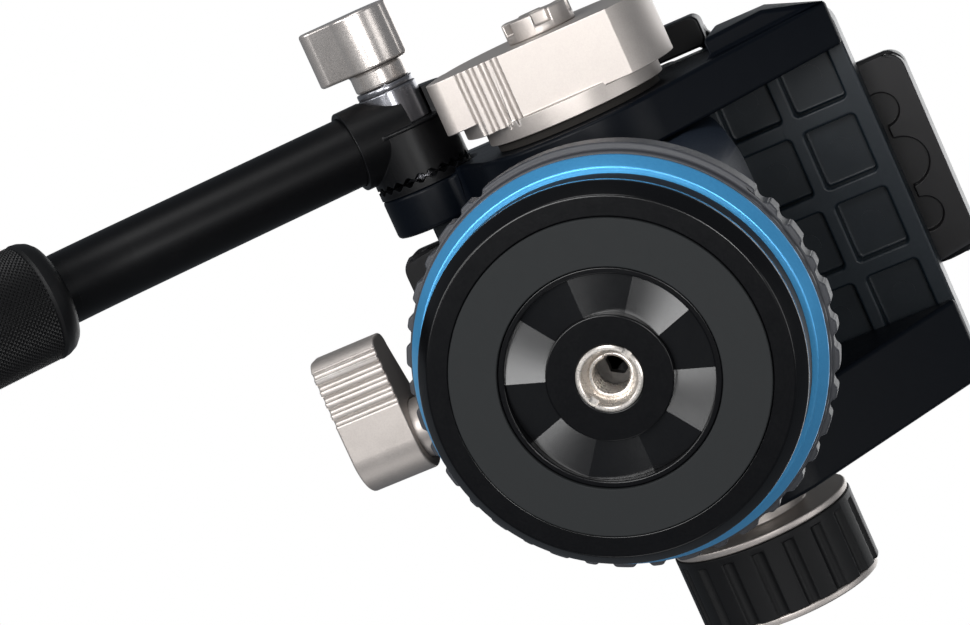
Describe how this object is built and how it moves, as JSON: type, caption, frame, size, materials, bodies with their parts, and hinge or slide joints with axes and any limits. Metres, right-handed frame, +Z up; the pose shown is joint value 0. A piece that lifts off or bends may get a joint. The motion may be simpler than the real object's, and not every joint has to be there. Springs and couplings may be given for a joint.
{
  "type": "fluid video head",
  "caption": "Compact black fluid video head with a flat base, blue accent ring, satin nickel lock levers, drag knob, sliding camera plate and a knurled bent pan bar.",
  "frame": {"origin": "middle of the base's seating face, on the pan axis", "axes": "+Z up the pan axis, +Y to the lens, +X to the operator's right"},
  "size_m": [0.1127, 0.2218, 0.133],
  "materials": {
    "body_black": "satin black powder coat with a blue cast",
    "black_metal": "black anodised, turned",
    "gloss_black": "polished moulding",
    "pad_rubber": "fine matte grain",
    "grip_rubber": "moulded matte",
    "gunmetal": "grey anodised, turned",
    "ring_grey": "satin moulding",
    "blue_anodised": "bright blue anodised, turned",
    "satin_nickel": "bead blasted and nickel plated",
    "steel": "turned",
    "bronze": "turned",
    "brake_fibre": "woven brake lining",
    "red_plastic": "moulded",
    "vial": "clear with tinted fluid"
  },
  "bodies": {
    "base": {"base_plate": "black_metal", "base_pad": "pad_rubber", "star_insert": "gloss_black", "reducing_bushing": "steel", "base_collar": "gunmetal", "accent_ring": "blue_anodised", "base_screws": "steel", "pan_spindle": "steel", "pan_axis_bolt": "steel", "spindle_nut": "steel", "pan_drag_rotor": "bronze"},
    "drag_ring": {"pan_drag_ring": "ring_grey"},
    "pan": {"pan_housing": "body_black", "pan_bearings": "steel", "pan_drag_stator": "bronze", "tilt_axle": "steel", "counterbalance_spring": "steel", "tilt_drag_rotor": "bronze"},
    "pan_lock": {"pan_lock_stem": "satin_nickel", "pan_lock_lever": "satin_nickel"},
    "pan_brake": {"pan_brake_shoe": "bronze"},
    "tilt": {"tilt_drag_stator": "bronze", "tilt_drag_cover": "black_metal", "tilt_bushes": "bronze", "left_cheek": "body_black", "right_cheek": "body_black", "cheek_screws": "steel", "platform_tray": "body_black", "left_rail": "black_metal", "right_rail": "black_metal", "rail_screws": "steel", "clamp_pivot": "steel", "level_cup": "satin_nickel", "level_vial": "vial", "rosette_ring": "steel"},
    "tilt_lock": {"tilt_brake_washer": "brake_fibre", "tilt_lock_lever": "satin_nickel", "tilt_lever_cap": "satin_nickel"},
    "drag_knob": {"knob_core": "satin_nickel", "knob_grip": "grip_rubber", "knob_end_cap": "black_metal"},
    "clamp_jaw": {"clamp_jaw": "steel"},
    "clamp_lever": {"clamp_lever": "black_metal"},
    "safety_button": {"safety_button": "red_plastic"},
    "plate": {"camera_plate": "black_metal", "plate_pads": "grip_rubber"},
    "screw_slider": {"screw_washer": "bronze"},
    "camera_screw": {"camera_screw": "steel"},
    "video_pin": {"video_pin": "steel"},
    "pan_bar": {"pan_bar_fitting": "black_metal", "pan_bar_tube": "black_metal", "pan_bar_grip": "grip_rubber", "grip_end_cap": "gloss_black"},
    "wing": {"clamp_bolt": "steel", "clamp_sleeve": "satin_nickel", "wing_washer": "steel", "wing_knob": "satin_nickel"}
  },
  "joints": [
    {"name": "pan", "type": "hinge", "parent": "base", "child": "pan", "pos_m": [0, 0, 0.022], "axis": [0, 0, 1], "continuous": true},
    {"name": "drag_dial", "type": "hinge", "parent": "pan", "child": "drag_ring", "pos_m": [0, 0, 0.0147], "axis": [0, 0, 1], "range_deg": [-120, 120]},
    {"name": "pan_lock", "type": "hinge", "parent": "pan", "child": "pan_lock", "pos_m": [0, -0.032, 0.024], "axis": [0, 1, 0], "range_deg": [-30, 50]},
    {"name": "pan_brake", "type": "slide", "parent": "pan", "child": "pan_brake", "axis": [0, 1, 0], "range_m": [-0.00008, 0.00013]},
    {"name": "tilt", "type": "hinge", "parent": "pan", "child": "tilt", "pos_m": [0, 0, 0.062], "axis": [1, 0, 0], "range_deg": [-75, 60]},
    {"name": "tilt_lock", "type": "hinge", "parent": "pan", "child": "tilt_lock", "pos_m": [0.038, 0, 0.062], "axis": [1, 0, 0], "range_deg": [-30, 30]},
    {"name": "drag_knob", "type": "hinge", "parent": "pan", "child": "drag_knob", "pos_m": [-0.046, 0, 0.062], "axis": [1, 0, 0], "range_deg": [-150, 150]},
    {"name": "pan_bar", "type": "hinge", "parent": "tilt", "child": "pan_bar", "pos_m": [0.035, -0.029, 0.072], "axis": [1, 0, 0], "range_deg": [-60, 60]},
    {"name": "wing", "type": "hinge", "parent": "tilt", "child": "wing", "pos_m": [0.05, -0.029, 0.072], "axis": [1, 0, 0], "range_deg": [-180, 180]},
    {"name": "plate_slide", "type": "slide", "parent": "tilt", "child": "plate", "axis": [0, 1, 0], "range_m": [-0.025, 0.007]},
    {"name": "clamp_lever", "type": "hinge", "parent": "tilt", "child": "clamp_lever", "pos_m": [0.02635, 0.022, 0.09], "axis": [0, 0, 1], "range_deg": [0, 50]},
    {"name": "clamp_jaw", "type": "slide", "parent": "tilt", "child": "clamp_jaw", "axis": [1, 0, 0], "range_m": [0, 0.0005]},
    {"name": "safety_button", "type": "slide", "parent": "tilt", "child": "safety_button", "axis": [1, 0, 0], "range_m": [0, 0.0028], "stiffness_N_per_m": 400},
    {"name": "screw_slide", "type": "slide", "parent": "plate", "child": "screw_slider", "axis": [0, 1, 0], "range_m": [-0.012, 0.018]},
    {"name": "camera_screw", "type": "hinge", "parent": "screw_slider", "child": "camera_screw", "pos_m": [0, 0, 0.092], "axis": [0, 0, 1], "continuous": true},
    {"name": "video_pin", "type": "slide", "parent": "plate", "child": "video_pin", "axis": [0, 0, 1], "range_m": [-0.003, 0], "stiffness_N_per_m": 300}
  ],
  "couplings": [
    {"joint": "pan_brake", "follows": "pan_lock", "m_per_rad": 0.000143},
    {"joint": "clamp_jaw", "follows": "clamp_lever", "m_per_rad": 0.00057}
  ]
}
